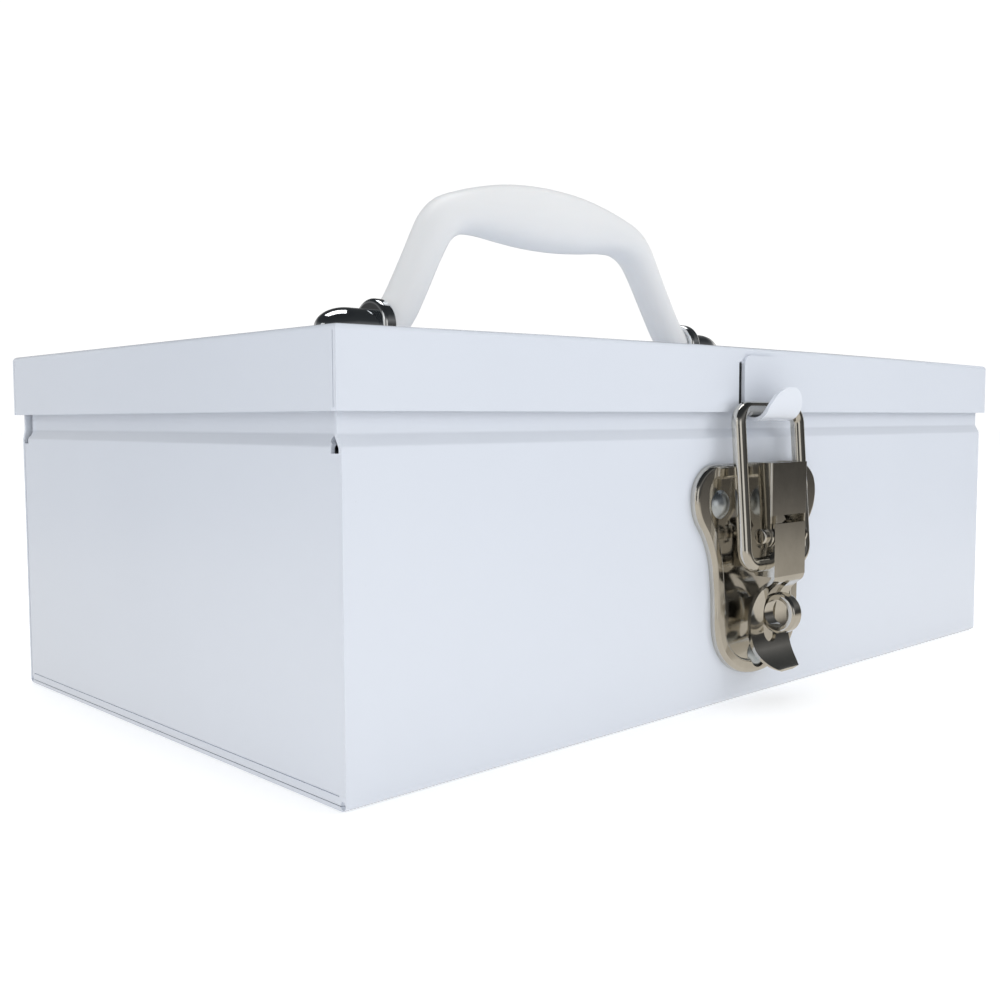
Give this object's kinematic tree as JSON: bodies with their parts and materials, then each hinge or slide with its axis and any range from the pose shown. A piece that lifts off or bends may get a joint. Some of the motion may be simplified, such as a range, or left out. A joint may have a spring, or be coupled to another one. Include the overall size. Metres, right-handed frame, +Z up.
{
  "type": "sewing box",
  "caption": "Enamelled steel sewing box with a hinged lid, carrying handle, front draw latch with padlock eye, and two trays that rise as the lid opens.",
  "frame": {"origin": "centre of the base on the surface that the box stands on", "axes": "+X along the length, to the right seen from the latch side; -Y towards the latch (front); +Z up"},
  "size_m": [0.31, 0.1949, 0.1652],
  "materials": {
    "white_enamel": "glossy baked enamel",
    "tray_enamel": "glossy baked enamel",
    "nickel": "bright nickel plate",
    "chrome": "mirror chrome plate",
    "zinc_rivet": "zinc plated",
    "arm_steel": "zinc plated strip",
    "white_plastic": "satin moulded plastic"
  },
  "bodies": {
    "case": {"body_wrap": "white_enamel", "end_panel_left": "white_enamel", "end_panel_right": "white_enamel", "latch_plate": "nickel", "latch_rivets": "zinc_rivet", "latch_housing": "nickel", "lever_pivot_pin": "nickel", "padlock_eye": "nickel", "hinge_body_leaf_left": "arm_steel", "hinge_body_leaf_right": "arm_steel", "hinge_pins": "arm_steel", "hinge_body_rivets": "arm_steel", "case_studs_upper": "arm_steel", "case_studs_lower": "arm_steel"},
    "lid": {"lid_shell": "white_enamel", "lid_tongue": "white_enamel", "handle_bracket_left": "chrome", "handle_bracket_right": "chrome", "bracket_rivets": "arm_steel", "hinge_lid_leaf_left": "arm_steel", "hinge_lid_leaf_right": "arm_steel", "hinge_lid_rivets": "arm_steel", "lift_tab_left": "tray_enamel", "lift_tab_right": "tray_enamel"},
    "handle": {"handle_grip": "white_plastic", "handle_pivot_pins": "arm_steel"},
    "lever": {"latch_lever": "nickel"},
    "bail": {"bail_wire": "nickel"},
    "upper_front_arms": {"upper_front_arm_left": "arm_steel", "upper_front_arm_right": "arm_steel"},
    "upper_rear_arms": {"upper_rear_arm_left": "arm_steel", "upper_rear_arm_right": "arm_steel"},
    "lower_front_arms": {"lower_front_arm_left": "arm_steel", "lower_front_arm_right": "arm_steel"},
    "lower_rear_arms": {"lower_rear_arm_left": "arm_steel", "lower_rear_arm_right": "arm_steel"},
    "lift_links": {"lift_link_left": "arm_steel", "lift_link_right": "arm_steel", "lift_link_pins": "arm_steel"},
    "upper_tray": {"upper_tray_pan": "tray_enamel", "upper_tray_studs": "arm_steel", "upper_divider_left": "tray_enamel", "upper_divider_right": "tray_enamel", "upper_divider_long": "tray_enamel"},
    "lower_tray": {"lower_tray_pan": "tray_enamel", "lower_tray_studs": "arm_steel", "lower_divider_cross": "tray_enamel", "lower_divider_long": "tray_enamel"}
  },
  "joints": [
    {"name": "lid_hinge", "type": "hinge", "parent": "case", "child": "lid", "pos_m": [0, 0.0902, 0.0862], "axis": [-1, 0, 0], "range_deg": [0, 100]},
    {"name": "latch_lever", "type": "hinge", "parent": "case", "child": "lever", "pos_m": [-0.0015, -0.0958, 0.05], "axis": [-1, 0, 0], "range_deg": [0, 118]},
    {"name": "bail_pivot", "type": "hinge", "parent": "lever", "child": "bail", "pos_m": [-0.0015, -0.0944, 0.0416], "axis": [1, 0, 0], "range_deg": [0, 212.4]},
    {"name": "handle_pivot", "type": "hinge", "parent": "lid", "child": "handle", "pos_m": [-0.0016, 0, 0.1131], "axis": [1, 0, 0], "range_deg": [-82, 89]},
    {"name": "upper_front_arm", "type": "hinge", "parent": "case", "child": "upper_front_arms", "pos_m": [0, 0.002, 0.0844], "axis": [-1, 0, 0], "range_deg": [0, 100]},
    {"name": "upper_rear_arm", "type": "hinge", "parent": "case", "child": "upper_rear_arms", "pos_m": [0, 0.062, 0.0844], "axis": [-1, 0, 0], "range_deg": [0, 100]},
    {"name": "lower_front_arm", "type": "hinge", "parent": "case", "child": "lower_front_arms", "pos_m": [0, 0.0055, 0.0602], "axis": [-1, 0, 0], "range_deg": [0, 100]},
    {"name": "lower_rear_arm", "type": "hinge", "parent": "case", "child": "lower_rear_arms", "pos_m": [0, 0.0605, 0.0602], "axis": [-1, 0, 0], "range_deg": [0, 100]},
    {"name": "upper_tray_pivot", "type": "hinge", "parent": "upper_front_arms", "child": "upper_tray", "pos_m": [0, -0.05726, 0.09379], "axis": [-1, 0, 0], "range_deg": [-100, 0]},
    {"name": "lower_tray_pivot", "type": "hinge", "parent": "lower_front_arms", "child": "lower_tray", "pos_m": [0, -0.03104, 0.06599], "axis": [-1, 0, 0], "range_deg": [-100, 0]},
    {"name": "lift_link_pivot", "type": "hinge", "parent": "lid", "child": "lift_links", "pos_m": [0, 0.07064, 0.0893], "axis": [-1, 0, 0], "range_deg": [-100, 0]}
  ],
  "couplings": [
    {"joint": "bail_pivot", "follows": "latch_lever", "ratio": 1.8},
    {"joint": "upper_front_arm", "follows": "lid_hinge", "ratio": 1},
    {"joint": "upper_rear_arm", "follows": "lid_hinge", "ratio": 1},
    {"joint": "lower_front_arm", "follows": "lid_hinge", "ratio": 1},
    {"joint": "lower_rear_arm", "follows": "lid_hinge", "ratio": 1},
    {"joint": "upper_tray_pivot", "follows": "lid_hinge", "ratio": -1},
    {"joint": "lower_tray_pivot", "follows": "lid_hinge", "ratio": -1},
    {"joint": "lift_link_pivot", "follows": "lid_hinge", "ratio": -1}
  ]
}
